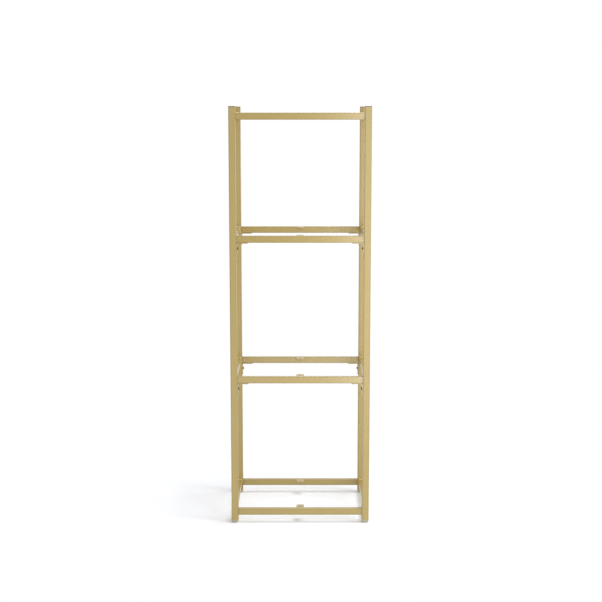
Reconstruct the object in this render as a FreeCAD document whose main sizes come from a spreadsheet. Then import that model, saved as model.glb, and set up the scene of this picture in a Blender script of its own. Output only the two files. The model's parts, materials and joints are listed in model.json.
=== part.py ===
import FreeCAD, Part
import os
import re
import Sketcher

# A tall open shelving unit of steel tube: four square posts and, on four levels, a rectangle of rails
# between them. Everything is in millimetres, +Z is up, the front faces -Y, and the origin is on the
# floor under the middle of the unit.

SIZES = {
    # the whole frame
    "overall_width": 510,
    "overall_depth": 380,
    "overall_height": 1536,
    # square tube of the posts
    "post_size": 25,
    "post_wall": 1.5,
    "post_round": 2,
    # cap on each post: a lid and a hollow plug
    "cap_thickness": 2,
    "cap_bevel": 0.8,
    "cap_plug_length": 14,
    "cap_plug_wall": 2,
    "plug_clearance": 0.2,
    # rectangular tube of the rails, the height of its top face on the lower three levels, and how far
    # the posts stand up past the top one
    "rail_height": 25,
    "rail_depth": 15,
    "rail_wall": 1.2,
    "rail_round": 1.5,
    "bottom_level": 55,
    "lower_level": 556,
    "upper_level": 1074,
    "post_stands_up": 23,
    # flat tab in the middle of a rail, that a shelf is screwed to
    "tab_width": 28,
    "tab_reach": 30,
    "tab_thickness": 3,
    "tab_corner": 5,
    "tab_hole_diameter": 6.5,
    "tab_hole_reach": 14,
    # bent bracket under each end of a middle rail
    "bracket_leg": 41,
    "bracket_drop": 46,
    "bracket_thickness": 3,
    "bracket_bend": 2,
    "bracket_corner": 3,
    # button-head bolt through the bracket into a weld nut in the post
    "bolt_drop": 21,
    "bolt_diameter": 6,
    "bolt_length": 12,
    "bolt_head_diameter": 10.5,
    "bolt_head_height": 3.3,
    "bolt_head_bevel": 2,
    "bolt_socket_width": 4,
    "bolt_socket_depth": 2,
    "bolt_hole_clearance": 0.25,
    "nut_width": 10,
    "nut_height": 5,
    "thread_clearance": 0.08,
    # spigot inside each end of a bottom or top rail, and the set screw that locks it
    "spigot_reach": 26,
    "spigot_clearance": 0.3,
    "spigot_chamfer": 2,
    "set_screw_diameter": 5,
    "set_screw_length": 9,
    "set_screw_socket": 2.5,
    "set_screw_socket_depth": 3,
    "set_screw_point": 1,
    # levelling foot: pad, threaded stem with a hexagon collar, and the insert in the post
    "pad_diameter": 24.5,
    "pad_height": 5,
    "pad_bevel": 1.8,
    "pad_floor": 1.7,
    "stem_diameter": 8,
    "stem_reach": 24,
    "stem_point": 1,
    "collar_width": 17,
    "collar_height": 2.5,
    "foot_gap": 0.3,
    "insert_inset": 0.2,
    "insert_flange": 1.5,
    "insert_plug_length": 22,
}

# Formulas in those names, for what several pieces share.
POST_X = "(overall_width - post_size) / 2"
POST_Y = "(overall_depth - post_size) / 2"
INNER_X = "(overall_width / 2 - post_size)"
INNER_Y = "(overall_depth / 2 - post_size)"
POST_FOOT = "(pad_height + collar_height + 2 * foot_gap + insert_flange)"
POST_TOP = "(overall_height - cap_thickness)"
POST_PLUG = "(post_size - 2 * post_wall - 2 * plug_clearance)"
RAIL_INNER_Y = "((overall_depth - post_size - rail_depth) / 2)"
SPIGOT_INSET = "(2 * rail_wall + 2 * spigot_clearance)"
BOLT_HOLE = "(bolt_diameter + 2 * bolt_hole_clearance)"
NUT_BORE = "(bolt_diameter + 2 * thread_clearance)"
STEM_BORE = "(stem_diameter + 2 * thread_clearance)"
STEM_IN_PAD = "(pad_height - pad_floor)"
SET_SCREW_HOLE = "(set_screw_diameter + 2 * bolt_hole_clearance)"
SET_SCREW_BORE = "(set_screw_diameter + 2 * thread_clearance)"
SET_SCREW_X = "(" + INNER_X + " - spigot_reach / 2)"

# The height of the rails' top face on each level.
LEVELS = {
    "bottom": "bottom_level",
    "lower": "lower_level",
    "upper": "upper_level",
    "top": "(overall_height - post_stands_up)",
}
SHELF_LEVELS = ("bottom", "lower", "upper")
BRACKET_LEVELS = ("lower", "upper")
SPIGOT_LEVELS = ("bottom", "top")

# Each face and side of the unit has a name, and a sign along Y or X.
FACES = (("front", -1), ("back", 1))
SIDES = (("left", -1), ("right", 1))

HEXAGON_SIDE_COUNT = 6
HALF_TURN = 180
# Sketches and their dimensions are drawn at this size until their formulas set them.
DRAFT_SIZE = 1
# How far two unit directions may differ and still count as parallel.
PARALLEL_SLACK = 1e-6

X_AXIS, Y_AXIS, Z_AXIS = FreeCAD.Vector(1, 0, 0), FreeCAD.Vector(0, 1, 0), FreeCAD.Vector(0, 0, 1)
PLANE_NORMALS = {"XY_Plane": Z_AXIS, "XZ_Plane": Y_AXIS, "YZ_Plane": X_AXIS}

document = FreeCAD.newDocument("shelving_unit")
sheet = document.addObject("Spreadsheet::Sheet", "Sizes")
for row, (alias, value) in enumerate(SIZES.items(), start=1):
    sheet.set("A%d" % row, alias)
    sheet.set("B%d" % row, str(value))
    sheet.setAlias("B%d" % row, alias)
document.recompute()

nodes = []


def size(name):
    """A size read from the sheet."""
    return float(sheet.get(name))


def formula(text):
    """A formula in size names as an expression on the sheet's cells."""
    return re.sub(r"[a-z]\w+", lambda word: "Sizes." + word[0] if word[0] in SIZES else word[0], text)


def signed(sign, text):
    """A formula on the given side of the middle."""
    return text if sign > 0 else "-(" + text + ")"


def bind(item, **properties):
    """Sets properties of an object by formulas."""
    for name, text in properties.items():
        item.setExpression(name, formula(text))


def new_body(label):
    """A body, which is a piece once add_node lists it."""
    body = document.addObject("PartDesign::Body", label)
    body.Label = label
    return body


def add_node(item):
    """Lists an object among the pieces that are written out."""
    nodes.append(item)
    return item


def place(body, x="0", y="0", z="0", turned=False):
    """Puts a body at a place given by formulas, half a turn round Z where it is turned."""
    body.Placement = FreeCAD.Placement(FreeCAD.Vector(), FreeCAD.Rotation(Z_AXIS, HALF_TURN if turned else 0))
    for axis, text in (("x", x), ("y", y), ("z", z)):
        body.setExpression("Placement.Base." + axis, formula(text))


def attach(item, body, role, height="0"):
    """Lays a sketch or a primitive on one of its body's own planes, raised from it by a formula."""
    plane = next(plane for plane in body.Origin.OriginFeatures if plane.Role == role)
    item.AttachmentSupport = [(plane, "")]
    item.MapMode = "FlatFace"
    item.setExpression("AttachmentOffset.Base.z", formula(height))


def new_sketch(body, role, height="0"):
    """A sketch on one of the body's own planes."""
    sketch = body.newObject("Sketcher::SketchObject", body.Label + "_sketch")
    attach(sketch, body, role, height)
    return sketch


def dimension(sketch, kind, points, text):
    """Adds one driving dimension to a sketch and ties it to a formula."""
    index = sketch.addConstraint(Sketcher.Constraint(kind, *points, DRAFT_SIZE))
    sketch.setExpression("Constraints[%d]" % index, formula(text))


def locate(sketch, item, point, across, up):
    """Sets how far a point of a sketch lies across and up from the origin, by formulas."""
    for kind, text, axis in (("DistanceX", across, -2), ("DistanceY", up, -1)):
        if text == "0":
            sketch.addConstraint(Sketcher.Constraint("PointOnObject", item, point, axis))
        else:
            dimension(sketch, kind, (-1, 1, item, point), text)


def outline(body, role, corners):
    """A sketch of a closed outline whose corners are pairs of formulas."""
    sketch = new_sketch(body, role)
    count = len(corners)
    # The corners are drawn on a parabola, where no three of them are in line.
    draft = [FreeCAD.Vector(corner, corner * corner, 0) * DRAFT_SIZE for corner in range(count)]
    for line in range(count):
        sketch.addGeometry(Part.LineSegment(draft[line], draft[(line + 1) % count]), False)
    for line in range(count):
        sketch.addConstraint(Sketcher.Constraint("Coincident", line, 2, (line + 1) % count, 1))
    for line, (across, up) in enumerate(corners):
        locate(sketch, line, 1, across, up)
    return sketch


def rectangle(body, role, width, depth):
    """A sketch of a rectangle round the origin."""
    right, left = "(%s) / 2" % width, "-(%s) / 2" % width
    upper, lower = "(%s) / 2" % depth, "-(%s) / 2" % depth
    return outline(body, role, ((left, lower), (right, lower), (right, upper), (left, upper)))


def circles(body, role, diameter, centres=(("0", "0"),), height="0"):
    """A sketch of like circles whose centres are pairs of formulas."""
    sketch = new_sketch(body, role, height)
    for index, (across, up) in enumerate(centres):
        draft_centre = FreeCAD.Vector(0, index, 0) * DRAFT_SIZE
        sketch.addGeometry(Part.Circle(draft_centre, Z_AXIS, DRAFT_SIZE), False)
        dimension(sketch, "Diameter", (index,), diameter)
        locate(sketch, index, 3, across, up)
    return sketch


def pad(body, sketch, length, both_ways=False, reverse=False):
    """Adds a sketch drawn out by a formula."""
    feature = body.newObject("PartDesign::Pad", body.Label + "_pad")
    feature.Profile = sketch
    feature.SideType = "Symmetric" if both_ways else "One side"
    feature.Reversed = reverse
    bind(feature, Length=length)
    document.recompute()
    return feature


def cut(body, sketch, length=None, reverse=False):
    """Cuts a sketch through everything both ways, or by a formula against its normal."""
    before = body.Shape.Volume
    feature = body.newObject("PartDesign::Pocket", body.Label + "_pocket")
    feature.Profile = sketch
    feature.Reversed = reverse
    if length:
        bind(feature, Length=length)
    else:
        feature.Type = "ThroughAll"
        feature.SideType = "Symmetric"
    document.recompute()
    check_cut(body, before)


def hexagon(body, kind, role, width, length, height="0"):
    """Adds or cuts a hexagonal prism of a width across its flats, from a height above a plane."""
    cuts = kind == "PartDesign::SubtractivePrism"
    before = body.Shape.Volume if cuts else 0
    prism = body.newObject(kind, body.Label + "_hexagon")
    attach(prism, body, role, height)
    prism.Polygon = HEXAGON_SIDE_COUNT
    bind(prism, Circumradius=width + " / sqrt(3)", Height=length)
    document.recompute()
    if cuts:
        check_cut(body, before)


def check_cut(body, volume_before):
    """Raises an error where a cut left a body as large as it was."""
    if body.Shape.Volume >= volume_before:
        raise RuntimeError(body.Label + ": a cut took nothing away")


def edges_where(feature, test):
    """The names of a feature's edges that pass a test."""
    return ["Edge%d" % number for number, edge in enumerate(feature.Shape.Edges, start=1) if test(edge)]


def runs_along(edge, axis):
    """Whether an edge is straight and parallel to an axis."""
    return edge.Curve.TypeId == "Part::GeomLine" and edge.Curve.Direction.cross(axis).Length < PARALLEL_SLACK


def soften(body, feature, edges, radius):
    """Rounds named edges of a feature by a formula."""
    fillet = body.newObject("PartDesign::Fillet", body.Label + "_fillet")
    fillet.Base = (feature, edges)
    bind(fillet, Radius=radius)
    document.recompute()
    return fillet


def bevel(body, feature, edges, width):
    """Chamfers named edges of a feature by a formula."""
    chamfer = body.newObject("PartDesign::Chamfer", body.Label + "_chamfer")
    chamfer.Base = (feature, edges)
    bind(chamfer, Size=width)
    document.recompute()
    return chamfer


def tube(body, role, width, depth, wall, rounding, length, both_ways):
    """A tube with rounded corners, drawn out square to one of the body's planes."""
    solid = pad(body, rectangle(body, role, width, depth), length, both_ways)
    long_edges = edges_where(solid, lambda edge: runs_along(edge, PLANE_NORMALS[role]))
    soften(body, solid, long_edges, rounding)
    cut(body, rectangle(body, role, "%s - 2 * %s" % (width, wall), "%s - 2 * %s" % (depth, wall)))


def make_post(face, face_sign, side, side_sign):
    """A square post, with a bolt hole in its inner wall for each bracket."""
    body = add_node(new_body("post_%s_%s" % (face, side)))
    length = POST_TOP + " - " + POST_FOOT
    tube(body, "XY_Plane", "post_size", "post_size", "post_wall", "post_round", length, both_ways=False)
    heights = ["%s - %s" % (bolt_height(level), POST_FOOT) for level in BRACKET_LEVELS]
    holes = circles(body, "YZ_Plane", BOLT_HOLE, [("0", height) for height in heights])
    cut(body, holes, "post_size", reverse=side_sign < 0)
    place(body, signed(side_sign, POST_X), signed(face_sign, POST_Y), POST_FOOT)


def make_post_cap(face, face_sign, side, side_sign):
    """A cap: a lid as wide as the post over a hollow plug."""
    body = add_node(new_body("post_cap_%s_%s" % (face, side)))
    lid = pad(body, rectangle(body, "XY_Plane", "post_size", "post_size"), "cap_thickness")
    lid = soften(body, lid, edges_where(lid, lambda edge: runs_along(edge, Z_AXIS)), "post_round")
    rim = edges_where(lid, lambda edge: edge.BoundBox.ZMin > size("cap_thickness") / 2)
    bevel(body, lid, rim, "cap_bevel")
    pad(body, rectangle(body, "XY_Plane", POST_PLUG, POST_PLUG), "cap_plug_length", reverse=True)
    hollow = POST_PLUG + " - 2 * cap_plug_wall"
    cut(body, rectangle(body, "XY_Plane", hollow, hollow), "cap_plug_length")
    place(body, signed(side_sign, POST_X), signed(face_sign, POST_Y), POST_TOP)


def make_foot_insert(face, face_sign, side, side_sign):
    """A threaded insert: a flange under the post's end and a plug up inside it."""
    body = add_node(new_body("foot_insert_%s_%s" % (face, side)))
    flange_width = "post_size - 2 * insert_inset"
    flange = pad(body, rectangle(body, "XY_Plane", flange_width, flange_width), "insert_flange")
    soften(body, flange, edges_where(flange, lambda edge: runs_along(edge, Z_AXIS)), "post_round")
    pad(body, rectangle(body, "XY_Plane", POST_PLUG, POST_PLUG), "insert_flange + insert_plug_length")
    cut(body, circles(body, "XY_Plane", STEM_BORE))
    place(body, signed(side_sign, POST_X), signed(face_sign, POST_Y), POST_FOOT + " - insert_flange")


def make_levelling_stem(face, face_sign, side, side_sign):
    """The foot's threaded stem, from its seat in the pad to its tip, with the collar that turns it."""
    body = add_node(new_body("levelling_stem_%s_%s" % (face, side)))
    rod = pad(body, circles(body, "XY_Plane", "stem_diameter"), STEM_IN_PAD + " + collar_height + stem_reach")
    bevel(body, rod, edges_where(rod, lambda edge: not runs_along(edge, Z_AXIS)), "stem_point")
    hexagon(body, "PartDesign::AdditivePrism", "XY_Plane", "collar_width", "collar_height", STEM_IN_PAD)
    place(body, signed(side_sign, POST_X), signed(face_sign, POST_Y), "pad_floor + foot_gap")


def make_glide_pad(face, face_sign, side, side_sign):
    """The foot's round pad, with a bevelled lower edge and a socket for the stem."""
    body = add_node(new_body("glide_pad_%s_%s" % (face, side)))
    disc = pad(body, circles(body, "XY_Plane", "pad_diameter"), "pad_height")
    lower_rim = edges_where(disc, lambda edge: edge.BoundBox.ZMax < size("pad_height") / 2)
    bevel(body, disc, lower_rim, "pad_bevel")
    cut(body, circles(body, "XY_Plane", STEM_BORE, height="pad_height"), STEM_IN_PAD)
    place(body, signed(side_sign, POST_X), signed(face_sign, POST_Y))


def make_side_rail(side, side_sign, level):
    """A rail from front to back between two posts."""
    body = add_node(new_body("side_rail_%s_%s" % (side, level)))
    length = "2 * " + INNER_Y
    tube(body, "XZ_Plane", "rail_depth", "rail_height", "rail_wall", "rail_round", length, both_ways=True)
    place(body, signed(side_sign, POST_X), z=LEVELS[level] + " - rail_height / 2")


def make_cross_rail(face, face_sign, level):
    """A rail from left to right between two posts, with set screw holes below where it has spigots."""
    body = add_node(new_body("%s_rail_%s" % (face, level)))
    length = "2 * " + INNER_X
    tube(body, "YZ_Plane", "rail_depth", "rail_height", "rail_wall", "rail_round", length, both_ways=True)
    if level in SPIGOT_LEVELS:
        centres = [(signed(side_sign, SET_SCREW_X), "0") for side, side_sign in SIDES]
        cut(body, circles(body, "XY_Plane", SET_SCREW_HOLE, centres), "rail_height")
    place(body, y=signed(face_sign, POST_Y), z=LEVELS[level] + " - rail_height / 2")


def make_shelf_tab(face, face_sign, level):
    """A flat tab on a rail's inner face, level with its top, with a screw hole for a shelf."""
    body = add_node(new_body("shelf_tab_%s_%s" % (face, level)))
    right, left = "tab_width / 2", "-tab_width / 2"
    corners = ((left, "0"), (right, "0"), (right, "tab_reach"), (left, "tab_reach"))
    plate = pad(body, outline(body, "XY_Plane", corners), "tab_thickness")
    middle = size("tab_reach") / 2
    free_corners = edges_where(plate, lambda edge: runs_along(edge, Z_AXIS) and edge.CenterOfMass.y > middle)
    soften(body, plate, free_corners, "tab_corner")
    cut(body, circles(body, "XY_Plane", "tab_hole_diameter", (("0", "tab_hole_reach"),)))
    place(body, y=signed(face_sign, RAIL_INNER_Y), z=LEVELS[level] + " - tab_thickness", turned=face_sign > 0)


def make_rail_bracket(face, face_sign, side, side_sign, level):
    """A bent bracket: one leg under the rail's end, the other down the post's inner face."""
    body = add_node(new_body("rail_bracket_%s_%s_%s" % (face, side, level)))
    leg, drop, thick = "bracket_leg", "-bracket_drop", "bracket_thickness"
    corners = (("0", "0"), (leg, "0"), (leg, "-" + thick), (thick, "-" + thick), (thick, drop), ("0", drop))
    strip = pad(body, outline(body, "XZ_Plane", corners), "rail_depth", both_ways=True)
    strip = soften(body, strip, bend_edges(strip, size(thick)), "bracket_bend")
    strip = soften(body, strip, bend_edges(strip, 0), "bracket_bend + bracket_thickness")
    soften(body, strip, edges_where(strip, is_tip), "bracket_corner")
    cut(body, circles(body, "YZ_Plane", BOLT_HOLE, (("0", "-bolt_drop"),)))
    x, y = signed(side_sign, INNER_X), signed(face_sign, POST_Y)
    place(body, x, y, LEVELS[level] + " - rail_height", turned=side_sign > 0)


def bend_edges(strip, depth):
    """A bracket's edges along its bend, at a depth below its outer faces."""
    reach = size("bracket_thickness") / 2

    def is_near(edge):
        centre = edge.CenterOfMass
        return runs_along(edge, Y_AXIS) and abs(centre.x - depth) < reach and abs(centre.z + depth) < reach

    return edges_where(strip, is_near)


def is_tip(edge):
    """Whether a bracket's edge is a corner at the free end of one of its legs."""
    on_leg = runs_along(edge, Z_AXIS) and edge.CenterOfMass.x > size("bracket_leg") / 2
    on_drop = runs_along(edge, X_AXIS) and edge.CenterOfMass.z < -size("bracket_drop") / 2
    return on_leg or on_drop


def bolt_height(level):
    """The height of a level's bolts, as a formula."""
    return LEVELS[level] + " - rail_height - bolt_drop"


def make_bracket_bolts(level):
    """Button-head bolts through the brackets of a level, with hexagon sockets in their heads."""
    body = new_body("bolt_" + level)
    head = pad(body, circles(body, "YZ_Plane", "bolt_head_diameter"), "bolt_head_height", reverse=True)
    rim = edges_where(head, lambda edge: edge.BoundBox.XMax < -size("bolt_head_height") / 2)
    bevel(body, head, rim, "bolt_head_bevel")
    pad(body, circles(body, "YZ_Plane", "bolt_diameter"), "bolt_length")
    width, depth = "bolt_socket_width", "bolt_socket_depth"
    hexagon(body, "PartDesign::SubtractivePrism", "YZ_Plane", width, depth, height="-bolt_head_height")
    place(body, INNER_X + " - bracket_thickness", signed(-1, POST_Y), bolt_height(level))
    make_group("bracket_bolts_" + level, body)


def make_weld_nuts(level):
    """Hexagon nuts on the inside of the posts, that a level's bolts screw into."""
    body = new_body("nut_" + level)
    hexagon(body, "PartDesign::AdditivePrism", "YZ_Plane", "nut_width", "nut_height")
    cut(body, circles(body, "YZ_Plane", NUT_BORE))
    place(body, INNER_X + " + post_wall", signed(-1, POST_Y), bolt_height(level))
    make_group("post_weld_nuts_" + level, body)


def make_rail_spigots(level):
    """Blocks on the posts' inner faces, inside the rails' ends, each with a set screw hole below."""
    body = new_body("spigot_" + level)
    section = rectangle(body, "YZ_Plane", "rail_depth - " + SPIGOT_INSET, "rail_height - " + SPIGOT_INSET)
    block = pad(body, section, "spigot_reach", reverse=True)
    rim = edges_where(block, lambda edge: edge.BoundBox.XMax < -size("spigot_reach") / 2)
    bevel(body, block, rim, "spigot_chamfer")
    cut(body, circles(body, "XY_Plane", SET_SCREW_BORE, (("-spigot_reach / 2", "0"),)), "rail_height")
    place(body, INNER_X, signed(-1, POST_Y), LEVELS[level] + " - rail_height / 2")
    make_group("rail_spigots_" + level, body)


def make_spigot_screws(level):
    """Headless screws with pointed tips and hexagon sockets, flush with the rails' undersides."""
    body = new_body("set_screw_" + level)
    rod = pad(body, circles(body, "XY_Plane", "set_screw_diameter"), "set_screw_length")
    tip = edges_where(rod, lambda edge: edge.BoundBox.ZMin > size("set_screw_length") / 2)
    bevel(body, rod, tip, "set_screw_point")
    width, depth = "set_screw_socket", "set_screw_socket_depth"
    hexagon(body, "PartDesign::SubtractivePrism", "XY_Plane", width, depth)
    place(body, SET_SCREW_X, signed(-1, POST_Y), LEVELS[level] + " - rail_height")
    make_group("spigot_screws_" + level, body)


def make_group(label, piece):
    """One node that holds a piece beside the front right post and its mirror images at the other posts."""
    pair = with_mirror_image(label + "_pair", piece, X_AXIS)
    add_node(with_mirror_image(label, pair, Y_AXIS))


def with_mirror_image(label, item, normal):
    """A compound of an object and its mirror image across the middle of the unit."""
    image = document.addObject("Part::Mirroring", label + "_image")
    image.Source = item
    image.Normal = normal
    both = document.addObject("Part::Compound", label)
    both.Links = [item, image]
    return both


def check_model():
    """Raises an error where an object failed or a piece has no valid shape."""
    for item in document.Objects:
        if "Invalid" in item.State or "Error" in item.State:
            raise RuntimeError(item.Label + " failed: " + str(item.State))
    for node in nodes:
        if node.Shape.isNull() or not node.Shape.isValid():
            raise RuntimeError(node.Label + " has no valid shape")


for face, face_sign in FACES:
    for side, side_sign in SIDES:
        make_post(face, face_sign, side, side_sign)
        make_post_cap(face, face_sign, side, side_sign)
        make_foot_insert(face, face_sign, side, side_sign)
        make_levelling_stem(face, face_sign, side, side_sign)
        make_glide_pad(face, face_sign, side, side_sign)
        for level in BRACKET_LEVELS:
            make_rail_bracket(face, face_sign, side, side_sign, level)
    for level in LEVELS:
        make_cross_rail(face, face_sign, level)
    for level in SHELF_LEVELS:
        make_shelf_tab(face, face_sign, level)
for side, side_sign in SIDES:
    for level in LEVELS:
        make_side_rail(side, side_sign, level)
for level in BRACKET_LEVELS:
    make_bracket_bolts(level)
    make_weld_nuts(level)
for level in SPIGOT_LEVELS:
    make_rail_spigots(level)
    make_spigot_screws(level)

document.recompute()
check_model()
os.makedirs("parts", exist_ok=True)
for node in nodes:
    node.Shape.exportStep("parts/" + node.Label + ".step")
print("pieces:", len(nodes), "solids:", sum(len(node.Shape.Solids) for node in nodes))
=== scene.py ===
import json
import math

import bmesh
import bpy
from mathutils import Matrix, Vector, noise

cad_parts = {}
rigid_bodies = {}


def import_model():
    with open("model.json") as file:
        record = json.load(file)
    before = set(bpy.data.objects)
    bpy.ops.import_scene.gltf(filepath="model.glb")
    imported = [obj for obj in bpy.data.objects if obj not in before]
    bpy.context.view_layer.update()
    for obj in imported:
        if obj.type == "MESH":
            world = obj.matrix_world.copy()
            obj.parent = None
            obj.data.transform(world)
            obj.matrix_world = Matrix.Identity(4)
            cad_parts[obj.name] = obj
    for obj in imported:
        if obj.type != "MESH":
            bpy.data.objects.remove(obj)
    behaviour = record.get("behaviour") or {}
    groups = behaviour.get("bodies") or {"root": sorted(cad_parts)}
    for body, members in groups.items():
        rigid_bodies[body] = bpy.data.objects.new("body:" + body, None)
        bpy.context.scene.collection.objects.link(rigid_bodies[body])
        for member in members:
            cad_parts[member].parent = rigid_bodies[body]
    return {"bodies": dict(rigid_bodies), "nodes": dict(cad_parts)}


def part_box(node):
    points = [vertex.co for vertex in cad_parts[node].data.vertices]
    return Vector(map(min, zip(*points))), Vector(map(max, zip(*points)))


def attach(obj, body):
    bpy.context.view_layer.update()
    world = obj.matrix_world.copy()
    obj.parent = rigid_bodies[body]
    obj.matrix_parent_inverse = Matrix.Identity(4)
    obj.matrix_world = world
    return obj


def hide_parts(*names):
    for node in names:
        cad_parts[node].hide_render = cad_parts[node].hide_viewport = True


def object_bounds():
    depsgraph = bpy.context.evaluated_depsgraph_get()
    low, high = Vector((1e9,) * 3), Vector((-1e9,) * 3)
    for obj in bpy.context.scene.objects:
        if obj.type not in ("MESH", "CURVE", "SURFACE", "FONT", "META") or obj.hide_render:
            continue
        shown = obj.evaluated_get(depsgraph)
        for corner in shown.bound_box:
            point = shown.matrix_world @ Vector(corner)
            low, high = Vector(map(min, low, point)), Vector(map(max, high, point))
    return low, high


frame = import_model()
CAD_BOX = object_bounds()

bl_info = {
    "name": "Shelving Unit Dressing",
    "version": (1, 0, 0),
    "blender": (4, 5, 0),
    "location": "View3D > Sidebar > Shelving",
    "description": "Finishes, fasteners, feet, welds and a studio for a shelving unit of gold tube",
    "category": "Object",
}

MM = 0.001
FULL_TURN = 2 * math.pi
X_AXIS, Y_AXIS, Z_AXIS = Vector((1, 0, 0)), Vector((0, 1, 0)), Vector((0, 0, 1))
WHITE = (1, 1, 1, 1)

# Edges that turn by more than this stay sharp, and so do those this near to a crease's height.
SHARP_ANGLE, CREASE_REACH = math.radians(32), 0.001 * MM
# Sides of turned pieces, a multiple of the hexagons' sides, and the rings in a pitch of thread.
TURNED_SIDES, HEXAGON_SIDES, RINGS_PER_PITCH = 36, 6, 10
# Steps in the arcs of a pad's lower and upper edge and of a bolt's dome.
PAD_EDGE_STEPS, PAD_RIM_STEPS, DOME_STEPS = 7, 5, 8
# Where a thread's crest ends and its root starts, from the crest's middle to the root's.
CREST_SHARE, ROOT_SHARE = 0.14, 0.80
# Plain lengths that a thread leaves next to the stem's collar and the bolt's head.
COLLAR_RELIEF, HEAD_RELIEF = 0.5 * MM, 1 * MM
# Radius of the collar's end faces, as a share of half its width across the flats.
COLLAR_FACE_SHARE = 0.96
# The chamfer under a bolt's head, and the depth and tip of the cone in its socket, as shares of the
# socket's depth and half width.
HEAD_CHAMFER, CONE_DEPTH_SHARE, CONE_TIP_SHARE = 0.2 * MM, 1.1, 0.25
# A weld bead's section in shares of its legs, how much its size wanders and over what length, and the
# share of its size that is left at its ends.
BEAD_OUTLINE = ((0, 0), (1, 0), (0.86, 0.34), (0.62, 0.62), (0.34, 0.86), (0, 1))
BEAD_WANDER, WANDER_LENGTH, BEAD_TIP = 0.12, 3 * MM, 0.25
# Spacing of the points along a bead, and steps round a rail's corner.
BEAD_STEP, CORNER_STEPS = 0.3 * MM, 6
# Rounds of the corners that beads follow or stop at, and how far from a tab's sides its bead stops.
RAIL_ROUND, BRACKET_ROUND, TAB_BEAD_INSET = 1.5 * MM, 3 * MM, 1 * MM

# What a normal's largest part lacks of 1 where an edge's rim starts and where it is full.
RIM_START, RIM_FULL = 0.02, 0.25
# How far a normal points up where a face starts to count as upward.
UPWARD_START = 0.6
# Stretch of the draw lines along a tube, next to 1 across it.
DRAW_SHARE = 0.006
# Patches in noise: the noise's detail, and its values where a patch starts and where it is full. Then the
# roughness of that noise.
DUST_PATCHES, RUB_PATCHES, SCUFF_PATCHES = (4, 0.35, 0.75), (5, 0.56, 0.70), (4, 0.55, 0.75)
PATCH_RAGGEDNESS = 0.7

# Height of the feet over the floor, so that the two don't share a plane, and the floor's sides.
FLOOR_GAP, FLOOR_SIDES = 0.2 * MM, 96
# Width of the floor's speckle, and how much it changes the tone.
SPECKLE_WIDTH, SPECKLE_TONE = 3 * MM, 0.01
# Each lamp's width and height, the place of its middle, and the point that it faces.
UNIT_MIDDLE = (CAD_BOX[0] + CAD_BOX[1]) / 2
KEY_LAMP = (2.8, 2.4, (1.7, -0.35, 7.6), UNIT_MIDDLE)
CARD_LAMP = (0.3, 1.75, (0.44, -1.35, 1.0), (0.27, 0, 1.0))
LOW_LAMP = (1.4, 0.26, (0.0, -1.35, 0.14), (0, 0, 0.14))
SIDE_LAMP = (0.9, 2.0, (2.9, -1.1, 1.1), UNIT_MIDDLE)

FACES = ("front", "back")
SIDES = ("left", "right")
CORNERS = [face + "_" + side for face in FACES for side in SIDES]
LEVELS = ("bottom", "lower", "upper", "top")
SHELF_LEVELS = LEVELS[:3]
BRACKET_LEVELS = ("lower", "upper")
SPIGOT_LEVELS = ("bottom", "top")


def sign_of(name):
    """Which way a face or side lies from the middle: -1 for front and left, 1 for back and right."""
    return -1 if name in ("front", "left") else 1


def middle(low, high):
    """The middle of a box given by its corners."""
    return (low + high) / 2


def point_under(low, high):
    """The point at height 0 under the middle of a box."""
    centre = middle(low, high)
    return Vector((centre.x, centre.y, 0))


class Wire:
    """A value on its way through a material: arithmetic with it adds Math nodes."""

    def __init__(self, shader, socket):
        self.shader = shader
        self.socket = socket

    def math(self, operation, *values):
        """One Math node on these values."""
        return self.shader.add("ShaderNodeMath", {"operation": operation}, dict(enumerate(values)))

    def __add__(self, other):
        return self.math("ADD", self, other)

    def __sub__(self, other):
        return self.math("SUBTRACT", self, other)

    def __rsub__(self, other):
        return self.math("SUBTRACT", other, self)

    def __mul__(self, other):
        return self.math("MULTIPLY", self, other)

    def __abs__(self):
        return self.math("ABSOLUTE", self)

    __radd__ = __add__
    __rmul__ = __mul__

    def larger(self, other):
        """The larger of two values."""
        return self.math("MAXIMUM", self, other)

    def swing(self, amount):
        """A value from 0 to 1 as a change of up to half an amount up or down."""
        return amount * (self - 0.5)

    def smooth(self, low, high):
        """0 below low, 1 above high and a smooth step between them."""
        ends = {"From Min": low, "From Max": high, "Value": self}
        return self.shader.add("ShaderNodeMapRange", {"interpolation_type": "SMOOTHSTEP"}, ends)


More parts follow.
